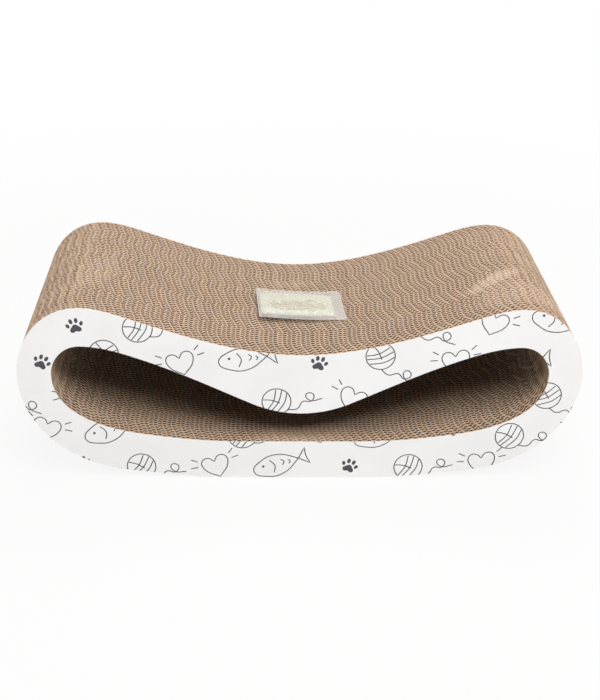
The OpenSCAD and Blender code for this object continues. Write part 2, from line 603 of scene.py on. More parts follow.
@dataclass(frozen=True)
class KraftPaper:
    """Brown kraft paper: blotches, fibres, a tint for each board, scuffs on top, and, where asked for,
    painted shade that darkens the paper far down in the flutes.
    """

    name: str
    light: str
    dark: str
    rubbed: str
    scuffs: tuple[Scuff, ...]
    # Colour of the painted shade far down in the flutes, and the distance below the rim that sets how
    # much of it a place gets
    painted_shade_colour: str = ""
    depth: PaintedFluteShade | None = None
    closing: float = 0.85
    board: float = 4 * MM
    blotch: float = 22 * MM
    rag: float = 9 * MM
    fibre: float = 0.7 * MM
    fibre_shape: tuple[float, float, float] = (1.0, 1.0, 0.4)
    nap: float = 0.06 * MM
    roughness: float = 0.9
    shine: float = 0.2

    def make(self) -> Material:
        """Builds the material."""
        paint = Paint.named(self.name)
        place = paint.place()
        _, y, _ = paint.split(place)
        sheet = (y / self.board).maths("FLOOR")
        tint = paint.wire("ShaderNodeTexWhiteNoise", {"noise_dimensions": "1D"}, {"W": sheet})
        blotch = paint.noise(place, self.blotch, detail=2.0)
        fibre = paint.noise(paint.stretched(place, self.fibre_shape), self.fibre, detail=4.0)
        share = tint * 0.15 + blotch * 0.70 + fibre * 0.30 - 0.10
        colour = paint.mix(share.smooth(0.0, 1.0), srgb(self.dark), srgb(self.light))
        ragged = paint.noise(place, self.rag)
        rubbed: Wire | float = 0.0
        for scuff in self.scuffs:
            rubbed = scuff.mask(paint, place, ragged) + rubbed
        colour = paint.mix(rubbed, colour, srgb(self.rubbed))
        # Painted shade: the walls darken towards a dark brown the further they lie inside a flute;
        # where a scuff has crushed the flutes they get less of it
        if self.depth:
            still_open = 1.0 - rubbed * self.closing
            shade = self.depth.mask(paint, place) * still_open
            colour = paint.mix(shade, colour, srgb(self.painted_shade_colour))
        return paint.finish(colour, self.roughness, self.shine, Normal=paint.bump(fibre, self.nap))


@dataclass(frozen=True)
class CoverPaper:
    """Smooth white paper glued over corrugated board, with a hint of the flutes under it."""

    name: str = "white_cover_paper"
    white: str = "#f4f3f3"
    shade: str = "#eeedec"
    flute: float = 7.85 * MM
    cloud: float = 45 * MM
    clouding: Pair = (0.3, 0.7)
    grain: float = 0.8 * MM
    relief: float = 0.05 * MM
    relief_share: float = 0.5
    roughness: Pair = (0.46, 0.58)
    shine: float = 0.35

    def make(self) -> Material:
        """Builds the material."""
        paint = Paint.named(self.name)
        place = paint.place()
        x, _, _ = paint.split(place)
        cloud = paint.noise(place, self.cloud)
        grain = paint.noise(place, self.grain)
        share = (cloud * 0.7 + grain * 0.3).smooth(*self.clouding)
        colour = paint.mix(share, srgb(self.shade), srgb(self.white))
        relief = x.waves(self.flute) * 0.35 + grain * 0.25 + cloud * 0.4
        normal = paint.bump(relief, self.relief, self.relief_share)
        return paint.finish(colour, grain.spread(*self.roughness), self.shine, Normal=normal)


@dataclass(frozen=True)
class PrintInk:
    """Soft black ink, a little worn where the paper's grain stands up."""

    name: str = "print_ink"
    full: str = "#47444a"
    worn: str = "#6c6870"
    grain: float = 0.6 * MM
    wear: Pair = (0.45, 0.8)
    roughness: Pair = (0.5, 0.7)
    shine: float = 0.3

    def make(self) -> Material:
        """Builds the material."""
        paint = Paint.named(self.name)
        grain = paint.noise(paint.place(), self.grain, detail=4.0)
        colour = paint.mix(grain.smooth(*self.wear), srgb(self.full), srgb(self.worn))
        return paint.finish(colour, grain.spread(*self.roughness), self.shine)


@dataclass(frozen=True)
class BoardStack:
    """The corrugated boards: two liners with a fluted paper between, each cut to the ring."""

    outline: RingOutline
    pitch: float = 7.87 * MM
    liner: float = 0.16 * MM
    paper: float = 0.68 * MM
    glue: float = 0.02 * MM
    bend: float = 1.4
    flutes: int = 63
    flute_steps: int = 4
    low: float = -2 * MM
    high: float = 160 * MM
    past: float = 0.6
    stretch: float = 0.004
    unevenness: float = 0.35 * MM
    least_uneven: float = 0.25
    trend: float = -0.5 * MM
    sway: float = 0.8 * MM
    sway_boards: float = 11.5
    sway_start: float = 3.3
    ripple: float = 0.3 * MM
    ripple_boards: float = 5.3
    ripple_start: float = 2.0
    jitter: float = 0.12 * MM
    seed: int = 7

    def _fluted_paper(self, gap: float) -> Piece:
        """A long sheet of fluted paper, upright and centred on the origin.

        Args:
            gap: Depth between the two liners.

        Returns:
            The sheet, closed all round.
        """
        swing = (gap - self.paper) / 2
        quarter = self.pitch / 4
        bpy.ops.curve.primitive_bezier_curve_add()
        wave = bpy.context.object
        wave.data.splines.clear()
        spline = wave.data.splines.new("BEZIER")
        spline.bezier_points.add(2)
        for k, point in enumerate(spline.bezier_points):
            crest = swing if k % 2 == 0 else -swing
            middle = (k - 1) * 2 * quarter
            point.handle_left_type = point.handle_right_type = "FREE"
            point.co = (middle, crest, 0)
            point.handle_left = (middle - self.bend * quarter, crest, 0)
            point.handle_right = (middle + self.bend * quarter, crest, 0)
        wave.data.dimensions = "3D"
        wave.data.resolution_u = self.flute_steps
        wave.data.extrude = (self.high - self.low) / 2
        paper = Bench.mesh(wave)
        Bench.modify(
            paper,
            "ARRAY",
            count=self.flutes,
            use_relative_offset=False,
            use_constant_offset=True,
            constant_offset_displace=(self.pitch, 0, 0),
            use_merge_vertices=True,
            merge_threshold=0.01 * MM,
        )
        paper.location = (-self.pitch * (self.flutes - 1) / 2, 0, (self.high + self.low) / 2)
        Bench.settle(paper)
        Bench.modify(paper, "SOLIDIFY", thickness=self.paper, offset=0.0)
        Bench.close(paper)
        return paper

    def _shifts(self, count: int) -> list[float]:
        """How far each board's flutes stand from the first's: a drift that snakes to and fro."""
        chance = random.Random(self.seed)
        place = 0.0
        shifts = []
        for number in range(count):
            snake = self.sway * math.sin(math.tau * number / self.sway_boards + self.sway_start)
            wave = math.tau * number / self.ripple_boards + self.ripple_start
            place += self.trend + snake + self.ripple * math.sin(wave) + chance.gauss(0, self.jitter)
            shifts.append((place + self.pitch / 2) % self.pitch - self.pitch / 2)
        return shifts

    def build(self, walls: Material, edges: Material) -> None:
        """Makes every board and puts it in its node's place, from front to back.

        Args:
            walls: Finish of the papers' faces.
            edges: Finish of the cut rims.
        """
        nodes = sorted(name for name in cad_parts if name.startswith("board_"))
        gap = corner_of(nodes[0], 1).y - corner_of(nodes[0], 0).y - 2 * self.liner - 2 * self.glue
        plate = self.outline.plate()
        Bench.dress(plate, walls, edges)
        fluted = self._fluted_paper(gap)
        Bench.dress(fluted, walls, edges)
        liner = self.outline.sheet(plate, "liner_stock", 0, self.liner)
        cutter = self.outline.sheet(plate, "cutter_stock", -gap * self.past, gap * self.past)
        Bench.number(cutter, 1)
        chance = random.Random(self.seed + 1)
        for node, shift in zip(nodes, self._shifts(len(nodes))):
            self._board(node, shift, (fluted, liner, cutter), chance)
        Bench.discard(plate, fluted, liner, cutter)

    def _board(
        self, node: str, shift: float, stock: tuple[Piece, Piece, Piece], chance: random.Random
    ) -> None:
        """Makes one board.

        Args:
            node: The frame's node that it stands for.
            shift: How far its flutes stand along the board.
            stock: Fluted paper, one liner, and the ring that trims the fluted paper.
            chance: Source of the boards' small differences.
        """
        low, high = corner_of(node, 0), corner_of(node, 1)
        front, back = low.y + self.glue, high.y - self.glue
        inset = 1 - chance.uniform(self.least_uneven, 1.0) * self.unevenness / high.x
        names = ("fluted_medium", "front_liner", "knife")
        medium, first, knife = (Bench.copy(piece, name) for piece, name in zip(stock, names))
        second = Bench.copy(first, "back_liner")
        first.location.y = front
        second.location.y = back - self.liner
        for sheet in (knife, first, second):
            sheet.scale = (inset, 1, inset)
            sheet.location.z = high.z / 2 * (1 - inset)
        medium.scale.x = 1 + chance.uniform(-self.stretch, self.stretch)
        medium.location.x = shift
        for sheet in (knife, medium, first, second):
            Bench.settle(sheet)
        Bench.keep_inside(medium, knife)
        medium.location.y = (front + back) / 2
        Bench.settle(medium)
        board = Bench.join([medium, first, second], f"corrugated_{node}")
        Bench.discard(knife)
        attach(board, SCRATCHER)
        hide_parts(node)
        LOG.info("%s: %d faces", board.name, len(board.data.polygons))


@dataclass
class Cover:
    """A white sheet on one side of the stack, with its generic print of thin line drawings."""

    node: str
    outline: RingOutline
    outward: int
    ink_relief: float = 0.06 * MM
    softening: float = 0.12 * MM

    def build(self, paper: Material, rim: Material, ink: Material) -> None:
        """Makes the sheet and its print.

        Args:
            paper: Finish of the white faces.
            rim: Finish of the cut rim.
            ink: Finish of the print.
        """
        low, high = corner_of(self.node, 0).y, corner_of(self.node, 1).y
        outer = low if self.outward < 0 else high
        face = outer - self.outward * self.ink_relief
        plate = self.outline.plate()
        depths = sorted((face, low + high - outer))
        sheet = self.outline.sheet(plate, f"{self.node}_sheet", *depths)
        Bench.modify(sheet, "BEVEL", width=self.softening, segments=2, limit_method="ANGLE")
        Bench.dress(sheet, paper, rim)
        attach(sheet, SCRATCHER)
        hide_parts(self.node)
        drawing = CoverPrint(self.outline, self.outward).build(plate, self.node, face)
        Bench.number(drawing, 0)
        Bench.dress(drawing, ink)
        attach(drawing, SCRATCHER)
        Bench.discard(plate)
        LOG.info("%s and %s", sheet.name, drawing.name)


class Motif(Enum):
    """What the print repeats."""

    FISH = "fish"
    YARN = "yarn"
    HEART = "heart"
    PAW = "paw"


@dataclass(frozen=True)
class Stroke:
    """A pen line through points given in millimetres."""

    points: tuple[Pair, ...]
    closed: bool = False
    sharp: tuple[int, ...] = ()
    filled: bool = False


def oval(x: float, y: float, wide: float, high: float, lean: float = 0.0) -> Stroke:
    """A filled oval as a stroke of eight points, leaning by an angle in degrees."""
    turn = math.radians(lean)
    points = []
    for k in range(8):
        angle = math.tau * k / 8
        across, up = wide / 2 * math.cos(angle), high / 2 * math.sin(angle)
        points.append(
            (
                x + across * math.cos(turn) - up * math.sin(turn),
                y + across * math.sin(turn) + up * math.cos(turn),
            )
        )
    return Stroke(tuple(points), closed=True, filled=True)


def hoop(x: float, y: float, size: float) -> Stroke:
    """A drawn circle."""
    points = tuple(
        (x + size / 2 * math.cos(math.tau * k / 10), y + size / 2 * math.sin(math.tau * k / 10))
        for k in range(10)
    )
    return Stroke(points, closed=True)


DRAWINGS: dict[Motif, tuple[Stroke, ...]] = {
    Motif.FISH: (
        Stroke(
            ((-23, 0), (-15, 7), (-3, 8.5), (10, 1.5), (19, -7), (18, 0), (19, 7), (10, -1.5),
             (-3, -8.5), (-15, -7)),
            closed=True,
            sharp=(4, 6),
        ),
        Stroke(((-9, 5.5), (-6.5, 0), (-9, -5.5))),
        Stroke(((-1, 3.5), (1, 1), (-1, -1.5))),
        Stroke(((4, 1.5), (5.5, 0), (4, -1.8))),
        oval(-15, 2, 1.9, 1.9),
    ),
    Motif.YARN: (
        hoop(-6, 0, 21),
        Stroke(((-15, -4), (-8, 1), (-3, 9))),
        Stroke(((-13.5, -6.5), (-5, -1), (1, 7.2))),
        Stroke(((-10, -9), (-1, -3), (3.5, 3.5))),
        Stroke(((-14.5, 5), (-9, 2.5), (-4, -2))),
        Stroke(((-1, -9), (6, -11), (12, -7), (18, -9), (21, -4), (16, -2.5), (17, -8), (26, -10))),
    ),
    Motif.HEART: (
        Stroke(
            ((0, -9), (-9, 0), (-9, 7), (-4, 8.5), (0, 4.5), (4, 8.5), (9, 7), (9, 0)),
            closed=True,
            sharp=(0, 4),
        ),
        Stroke(((12, 8), (16, 11))),
        Stroke(((13, 3.5), (18.5, 4))),
        Stroke(((-12, 8), (-16, 11))),
        Stroke(((-13, 3.5), (-18.5, 4))),
    ),
    Motif.PAW: (
        Stroke(
            ((0, 1.2), (-3.4, -1.2), (-5.6, -4.6), (-3.6, -6.8), (0, -5.8), (3.6, -6.8),
             (5.6, -4.6), (3.4, -1.2)),
            closed=True,
            filled=True,
        ),
        oval(-6.6, 1.0, 3.2, 4.8, 24),
        oval(-2.6, 4.9, 3.4, 5.4, 8),
        oval(2.6, 4.9, 3.4, 5.4, -8),
        oval(6.6, 1.0, 3.2, 4.8, -24),
    ),
}


@dataclass
class CoverPrint:
    """Thin line drawings and small paw prints, staggered in rows and cut off at the rims."""

    outline: RingOutline
    outward: int
    pen: float = 0.8 * MM
    relief: float = 0.06 * MM
    column: float = 57 * MM
    row: float = 33 * MM
    first_row: float = 12 * MM
    rows: int = 5
    columns: int = 9
    row_step: int = 3
    line_size: float = 1.15
    paw_size: float = 0.86
    stray: float = 3 * MM
    leans: Pair = (8, 28)
    smoothness: int = 4
    weld: float = 0.0001 * MM
    knife_reach: float = 2 * MM
    seed: int = 11

    def _stroke(self, stroke: Stroke) -> Piece:
        """One stroke as a thin closed solid in the plane y = 0."""
        bpy.ops.curve.primitive_bezier_curve_add()
        line = bpy.context.object
        curve = line.data
        curve.splines.clear()
        spline = curve.splines.new("BEZIER")
        spline.bezier_points.add(len(stroke.points) - 1)
        for k, (point, (x, y)) in enumerate(zip(spline.bezier_points, stroke.points)):
            kind = "VECTOR" if k in stroke.sharp else "AUTO"
            point.co = (x * MM, y * MM, 0)
            point.handle_left_type = point.handle_right_type = kind
        spline.use_cyclic_u = stroke.closed
        curve.resolution_u = self.smoothness
        if stroke.filled:
            curve.dimensions = "2D"
            curve.fill_mode = "BOTH"
            curve.extrude = self.relief
        else:
            curve.dimensions = "3D"
            curve.bevel_depth = self.pen / 2
            curve.bevel_resolution = 0
            curve.use_fill_caps = True
            line.scale.z = 2 * self.relief / self.pen
        line.rotation_euler.x = math.pi / 2
        made = Bench.mesh(line)
        Bench.close(made)
        return made

    def _stamp(self, motif: Motif) -> Piece:
        """One motif, at the origin."""
        strokes = [self._stroke(stroke) for stroke in DRAWINGS[motif]]
        return Bench.join(strokes, f"stamp_{motif.value}")

    def build(self, plate: Piece, node: str, face: float) -> Piece:
        """Prints the whole pattern.

        Args:
            plate: The ring, one unit thick.
            node: The cover's node, for the name.
            face: Depth of the paper's surface.

        Returns:
            The print as one piece.
        """
        knife = self.outline.sheet(plate, "print_knife", -self.knife_reach, self.knife_reach)
        stamps = {motif: self._stamp(motif) for motif in Motif}
        order = (Motif.FISH, Motif.PAW, Motif.YARN, Motif.HEART)
        chance = random.Random(self.seed)
        printed = []
        for row, column in product(range(self.rows), range(self.columns)):
            motif = order[(column + self.row_step * row) % len(order)]
            stagger = (row % 2 - 0.5) / 2
            across = (column - (self.columns - 1) / 2 + stagger) * self.column
            up = self.first_row + row * self.row + chance.uniform(-self.stray, self.stray)
            lean = chance.choice((-1, 1)) * chance.uniform(*self.leans)
            size = self.paw_size if motif is Motif.PAW else self.line_size
            mark = Bench.copy(stamps[motif], "mark")
            mark.rotation_euler.y = math.radians(lean)
            mark.scale = (-self.outward * size, 1, size)
            mark.location = (-self.outward * across, 0, up)
            Bench.settle(mark)
            Bench.close(mark, self.weld)
            Bench.keep_inside(mark, knife)
            if mark.data.polygons:
                printed.append(mark)
            else:
                Bench.discard(mark)
        Bench.discard(knife, *stamps.values())
        drawing = Bench.join(printed, node.replace("cover", "print"))
        drawing.location.y = face
        Bench.settle(drawing)
        return drawing


@dataclass
class CatnipPacket:
    """The heat-sealed packet's two milky films, blown up a little.

    It is made flat and level round its own middle, and turned into place at the end.
    """

    outline: RingOutline
    long: float = 76 * MM
    wide: float = 64 * MM
    across: float = 1.5 * MM
    back: float = -8.5 * MM
    turn: float = 2.5
    tilt: float = 3.3
    film: float = 0.12 * MM
    left_seal: float = 1.5 * MM
    right_seal: float = 8 * MM
    near_seal: float = 6.5 * MM
    far_seal: float = 11 * MM
    crown: float = 4 * MM
    belly: float = 6 * MM
    plump: float = 0.55
    cells: tuple[int, int] = (95, 80)
    hair: float = 0.03 * MM
    slack: float = 0.6
    growth: float = 0.045
    blow_up: float = 25.0
    frames: int = 24
    clear: float = 0.35 * MM
    least_crown: float = 0.72
    least_belly: float = 0.8
    droop: float = 2.6 * MM
    far_droop: float = 0.6
    pinch: float = 0.08

    @cached_property
    def rise(self) -> float:
        """Height of the packet's middle, taken from its right end, which rests on the boards."""
        return corner_of("packet_top_film", 0).z + self.long / 2 * math.tan(math.radians(self.tilt))

    @cached_property
    def bed(self) -> list[float]:
        """Heights of the saddle's top at whole millimetres from its middle."""
        return [self.outline.saddle(k * MM) for k in range(int(self.long / MM))]

    def plumpness(self, x: float, y: float) -> float:
        """How full the packet is at a place on it, from 0 on the seals to 1 in the middle."""
        along = (x + self.long / 2 - self.left_seal) / (self.long - self.left_seal - self.right_seal)
        aside = (y + self.wide / 2 - self.near_seal) / (self.wide - self.near_seal - self.far_seal)
        if not (0 < along < 1 and 0 < aside < 1):
            return 0.0
        return (16 * along * (1 - along) * aside * (1 - aside)) ** self.plump

    def _floor(self, x: float, y: float) -> float:
        """How far below the seals the boards' top lies at a place on the packet, as a height."""
        turn = math.radians(self.turn)
        across = self.across + x * math.cos(turn) - y * math.sin(turn)
        sealed = self.rise - x * math.tan(math.radians(self.tilt))
        whole, part = divmod(abs(across) / MM, 1)
        low, high = self.bed[int(whole) : int(whole) + 2]
        return low + (high - low) * part - sealed

    def _middling(self, x: float) -> float:
        """1 over the packet's middle and 0 at its left and right ends."""
        return 1 - (2 * x / self.long) ** 2

    def _hang(self, x: float, y: float) -> float:
        """How far the near and far seals hang, away from the corners."""
        near = max(0.0, (self.near_seal - self.wide / 2 - y) / self.near_seal)
        far = max(0.0, (y - self.wide / 2 + self.far_seal) / self.far_seal)
        return self.droop * self._middling(x) * (near**2 + self.far_droop * far**2)

    def top(self, x: float, y: float) -> float:
        """Height of the filling's crown over the seals."""
        return self.crown * self.plumpness(x, y)

    def bottom(self, x: float, y: float) -> float:
        """Height of the filling's underside, which the boards hold up."""
        return max(-self.belly * self.plumpness(x, y), min(0.0, self._floor(x, y) + 2 * self.clear))

    def sheet(self, name: str, level: Callable[[float, float], float], upward: bool) -> Piece:
        """A grid over the whole packet, raised to a level at each place.

        Args:
            name: What to call it.
            level: Height at a place.
            upward: Whether its faces point up.

        Returns:
            The sheet.
        """
        columns, rows = self.cells
        bpy.ops.mesh.primitive_grid_add(x_subdivisions=columns, y_subdivisions=rows, size=1)
        sheet = bpy.context.object
        sheet.name = name
        sheet.scale = (self.long, self.wide, 1)
        Bench.settle(sheet)
        for vertex in sheet.data.vertices:
            vertex.co.z = level(vertex.co.x, vertex.co.y)
        if not upward:
            with Bench.editing(sheet, "SELECT"):
                bpy.ops.mesh.flip_normals()
        return sheet

    def _pouch(self) -> Piece:
        """The closed pouch with its films apart by a hair, blown up by a cloth simulation."""
        def apart(x: float, y: float, height: float) -> float:
            touch = 0.01 * MM
            on_rim = abs(x) > self.long / 2 - touch or abs(y) > self.wide / 2 - touch
            return 0.0 if on_rim else height

        upper = self.sheet(
            "pouch", lambda x, y: apart(x, y, self.hair + self.slack * self.top(x, y)), True
        )
        lower = self.sheet(
            "under", lambda x, y: apart(x, y, self.slack * self.bottom(x, y) - self.hair), False
        )
        pouch = Bench.join([upper, lower], "pouch")
        with Bench.editing(pouch, "SELECT"):
            bpy.ops.mesh.remove_doubles(threshold=self.hair)
        self._blow(pouch)
        self._hold(pouch)
        return pouch

    def _blow(self, pouch: Piece) -> None:
        """Lets a little spare film and a light pressure wrinkle the pouch between its seals."""
        held = pouch.vertex_groups.new(name="seals")
        sealed = [v.index for v in pouch.data.vertices if self.plumpness(v.co.x, v.co.y) == 0]
        held.add(sealed, 1.0, "REPLACE")
        pouch.scale = (self.blow_up,) * 3
        Bench.settle(pouch)
        cloth = pouch.modifiers.new("Cloth", "CLOTH")
        ways = cloth.settings
        ways.vertex_group_mass = held.name
        ways.quality = 6
        ways.mass = 0.2
        ways.tension_stiffness = ways.compression_stiffness = 30
        ways.shear_stiffness = 12
        ways.bending_stiffness = 0.6
        ways.air_damping = 2
        ways.shrink_min = -self.growth
        ways.use_pressure = True
        ways.uniform_pressure_force = 1.2
        ways.effector_weights.gravity = 0
        cloth.point_cache.frame_end = self.frames
        for frame_number in range(1, self.frames + 1):
            bpy.context.scene.frame_set(frame_number)
        Bench.only(pouch)
        bpy.ops.object.modifier_apply(modifier=cloth.name)
        bpy.context.scene.frame_set(1)
        pouch.scale = (1 / self.blow_up,) * 3
        Bench.settle(pouch)

    def _hold(self, pouch: Piece) -> None:
        """Keeps the blown pouch round its filling, clear of the boards and under its full height."""
        upper = {i for face in pouch.data.polygons if self._upper(face) for i in face.vertices}
        for vertex in pouch.data.vertices:
            x, y, z = vertex.co
            top, bottom = self.top(x, y), self.bottom(x, y)
            if self.plumpness(x, y) == 0:
                vertex.co.z = max(z - self._hang(x, y), self._floor(x, y) + self.clear)
            elif vertex.index in upper:
                vertex.co.z = min(max(z, self.least_crown * top), top + self.clear)
            else:
                vertex.co.z = max(min(z, self.least_belly * bottom), bottom)

    def _upper(self, face: Face) -> bool:
        """Whether a face of the pouch is one of the upper film's, which come first."""
        return face.index < self.cells[0] * self.cells[1]

    def _split(self, pouch: Piece, side: str) -> Piece:
        """One film of the pouch, "top" or "bottom", given its thickness outwards."""
        film = Bench.copy(pouch, f"pouch_{side}_film")
        Bench.cut_away(film, lambda face: self._upper(face) != (side == "top"))
        Bench.modify(film, "SOLIDIFY", thickness=self.film, offset=1.0)
        return film

    def place(self, piece: Piece, node: str, slot: str) -> None:
        """Pulls in a finished piece's near side, turns it into place and hands it over.

        Args:
            piece: A film, or what lies between the films.
            node: The frame's node that it stands for.
            slot: Not used.
        """
        for vertex in piece.data.vertices:
            if vertex.co.y < 0:
                vertex.co.y *= 1 - self.pinch * self._middling(vertex.co.x)
        piece.rotation_euler = (0, math.radians(self.tilt), math.radians(self.turn))
        piece.location = (self.across, self.back, self.rise)
        Bench.settle(piece)
        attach(piece, PACKET)
        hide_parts(node)
        LOG.info("%s: %d faces", piece.name, len(piece.data.polygons))

    def build(self, film: Material) -> None:
        """Makes both films of the given material."""
        pouch = self._pouch()
        for side in ("top", "bottom"):
            sheet = self._split(pouch, side)
            Bench.dress(sheet, film)
            sheet.data.shade_smooth()
            self.place(sheet, f"packet_{side}_film", "packet_film")
        Bench.discard(pouch)


@dataclass(frozen=True)
class CatnipFilling:
    """A rough pad of crushed leaf, with flakes and stems strewn over its near half."""

    packet: CatnipPacket
    pad_top: float = 0.60
    pad_bottom: float = 0.62
    lump: float = 1.7 * MM
    lump_height: float = 0.22 * MM
    crumbs: float = 2.7
    crumb_height: float = 0.10 * MM
    rough_from: float = 0.25
    tatter: float = 6 * MM
    edge: float = 0.16
    tattered: float = 0.14
    flake_size: float = 1.3 * MM
    flake_shape: tuple[float, float, float] = (1.7, 0.8, 1)
    flake_bend: float = 0.25 * MM
    flake_thickness: float = 0.12 * MM
    stem_length: float = 11 * MM
    stem_radius: float = 0.28 * MM
    stem_bow: float = 0.25 * MM
    flakes: int = 170
    stems: int = 78
    strewn_at: float = -15 * MM
    strewn_over: float = 1 / 9
    turned: float = 0.7
    covered: float = 0.5
    strewn_height: float = 0.68
    sizes: Pair = (0.5, 1.1)
    tips: Pair = (5, 2)
    seed: int = 23

    def _pad(self) -> Piece:
        """The body of crushed leaf, rough all over, that fills the pouch most of the way."""
        packet = self.packet

        def upper(x: float, y: float) -> float:
            place = Vector((x, y, 0.0)) / self.lump
            lumps = noise.noise(place) * self.lump_height
            crumbs = noise.noise(place * self.crumbs) * self.crumb_height
            shown = packet.plumpness(x, y) > self.rough_from
            return self.pad_top * packet.top(x, y) + (lumps + crumbs) * shown

        def lower(x: float, y: float) -> float:
            return self.pad_bottom * packet.bottom(x, y)

        def outside(face: Face) -> bool:
            x, y, _ = face.center
            ragged = noise.noise(Vector((x, y, 0.0)) / self.tatter)
            return packet.plumpness(x, y) < self.edge + self.tattered * ragged

        pad = Bench.join([packet.sheet("pad", upper, True), packet.sheet("under", lower, False)], "pad")
        Bench.cut_away(pad, outside)
        with Bench.editing(pad, "DESELECT"):
            bpy.ops.mesh.select_non_manifold()
            bpy.ops.mesh.bridge_edge_loops()
        return pad

    def _flake(self) -> Piece:
        """A scrap of dried leaf, bent along its middle."""
        bpy.ops.mesh.primitive_circle_add(vertices=7, radius=self.flake_size, fill_type="NGON")
        flake = bpy.context.object
        flake.scale = self.flake_shape
        Bench.settle(flake)
        with Bench.editing(flake, "SELECT"):
            bpy.ops.mesh.poke(offset=self.flake_bend)
        Bench.modify(flake, "SOLIDIFY", thickness=self.flake_thickness, offset=0.0)
        return flake

    def _stem(self) -> Piece:
        """A snapped length of stem, slightly bowed."""
        bpy.ops.mesh.primitive_cylinder_add(vertices=5, radius=self.stem_radius, depth=self.stem_length)
        stem = bpy.context.object
        stem.rotation_euler.y = math.pi / 2
        Bench.settle(stem)
        with Bench.editing(stem, "SELECT"):
            bpy.ops.mesh.subdivide(number_cuts=1)
        for vertex in stem.data.vertices:
            vertex.co.z += self.stem_bow * (1 - abs(vertex.co.x) / (self.stem_length / 2))
        return stem

    def _scatter(self, stock: Piece, count: int, chance: random.Random) -> list[Piece]:
        """Strews copies of one scrap over the pad, just under the upper film.

        Args:
            stock: The scrap.
            count: How many copies.
            chance: Source of their places and turns.

        Returns:
            The copies.
        """
        packet = self.packet
        strewn: list[Piece] = []
        half = max(v.co.x for v in stock.data.vertices)
        while len(strewn) < count:
            x = chance.uniform(-packet.long / 2, packet.long / 2)
            y = chance.gauss(self.strewn_at, packet.wide * self.strewn_over)
            turn = chance.gauss(0, self.turned)
            along, aside = half * math.cos(turn), half * math.sin(turn)
            ends = ((x - along, y - aside), (x, y), (x + along, y + aside))
            if min(packet.plumpness(*end) for end in ends) < self.covered:
                continue
            scrap = Bench.copy(stock, "scrap")
            scrap.scale = (chance.uniform(*self.sizes), chance.uniform(*self.sizes), 1)
            roll, pitch = (math.radians(chance.gauss(0, tip)) for tip in self.tips)
            scrap.rotation_euler = (roll, pitch, turn)
            scrap.location = (x, y, self.strewn_height * min(packet.top(*end) for end in ends))
            Bench.settle(scrap)
            strewn.append(scrap)
        return strewn

    def build(self, dust: Material, leaf: Material, stalk: Material) -> None:
        """Makes the filling.

        Args:
            dust: Finish of the fine crushed leaf.
            leaf: Finish of the larger flakes.
            stalk: Finish of the stems.
        """
        chance = random.Random(self.seed)
        pad, flake, stem = self._pad(), self._flake(), self._stem()
        for stock, finish in ((pad, dust), (flake, leaf), (stem, stalk)):
            Bench.dress(stock, finish)
        scraps = self._scatter(flake, self.flakes, chance) + self._scatter(stem, self.stems, chance)
        filling = Bench.join([pad, *scraps], "crushed_catnip")
        Bench.discard(flake, stem)
        self.packet.place(filling, "catnip_filling", "dried_catnip")


@dataclass(frozen=True)
class MilkyFilm:
    """Thin film, a little milky, with fine crimps across its seals and pale cut edges."""

    packet: CatnipPacket
    name: str = "milky_packet_film"
    body: str = "#dedfd5"
    seal: str = "#dcd6ce"
    edge: str = "#e2e0dc"
    crimp: float = 1.3 * MM
    wrinkle: float = 5 * MM
    wander: float = 3 * MM
    blur: float = 0.9 * MM
    wrinkle_shape: tuple[float, float, float] = (1.0, 0.45, 1.0)
    rim: Pair = (-1.1 * MM, -0.3 * MM)
    relief: float = 0.25 * MM
    relief_share: float = 0.7
    shine: float = 0.5

    def make(self) -> Material:
        """Builds the material."""
        paint = Paint.named(self.name)
        packet = self.packet
        inputs = {
            "Vector": paint.place(),
            "Location": (packet.across, packet.back, 0.0),
            "Rotation": (0.0, 0.0, math.radians(packet.turn)),
        }
        place = paint.node("ShaderNodeMapping", {"vector_type": "TEXTURE"}, inputs).outputs[0]
        x, y, _ = paint.split(place)
        half_long, half_wide = packet.long / 2, packet.wide / 2
        far = y - (half_wide - packet.far_seal)
        close = (packet.near_seal - half_wide) - y
        right = x - (half_long - packet.right_seal)
        left = (packet.left_seal - half_long) - x
        beyond = far.maths("MAXIMUM", close).maths("MAXIMUM", right.maths("MAXIMUM", left))
        wrinkles = paint.noise(paint.stretched(place, self.wrinkle_shape), self.wrinkle)
        wander = (wrinkles - 0.5) * self.wander
        sealed = (beyond + wander).smooth(-self.blur, self.blur)
        banded = right.smooth(-self.blur, self.blur)
        inward_x = x.maths("ABSOLUTE") - half_long
        inward_y = y.maths("ABSOLUTE") - half_wide
        edge = inward_x.maths("MAXIMUM", inward_y).smooth(*self.rim)
        colour = paint.mix(sealed, srgb(self.body), srgb(self.seal))
        colour = paint.mix(edge, colour, srgb(self.edge))
        roughness = wrinkles * 0.15 + sealed * 0.12 + 0.22
        alpha = wrinkles * 0.20 - sealed * 0.13 + banded * 0.08 + edge * 0.22 + 0.20
        relief = wrinkles * (1.0 - sealed * 0.6) + y.waves(self.crimp) * sealed * 0.4
        normal = paint.bump(relief, self.relief, self.relief_share)
        return paint.finish(colour, roughness, self.shine, Alpha=alpha, Normal=normal)


@dataclass(frozen=True)
class DriedHerb:
    """Crushed dried leaf or stem, mottled at two scales and rough all over."""

    name: str
    pale: str
    dark: str
    lump: float = 3.2 * MM
    crumb: float = 0.8 * MM
    mottle: Pair = (0.36, 0.64)
    relief: float = 0.3 * MM
    roughness: Pair = (0.8, 0.95)
    shine: float = 0.2

    def make(self) -> Material:
        """Builds the material."""
        paint = Paint.named(self.name)
        place = paint.place()
        lump = paint.noise(place, self.lump)
        crumb = paint.noise(place, self.crumb, detail=4.0)
        share = (lump * 0.5 + crumb * 0.5).smooth(*self.mottle)
        colour = paint.mix(share, srgb(self.dark), srgb(self.pale))
        normal = paint.bump(crumb, self.relief)
        return paint.finish(colour, crumb.spread(*self.roughness), self.shine, Normal=normal)


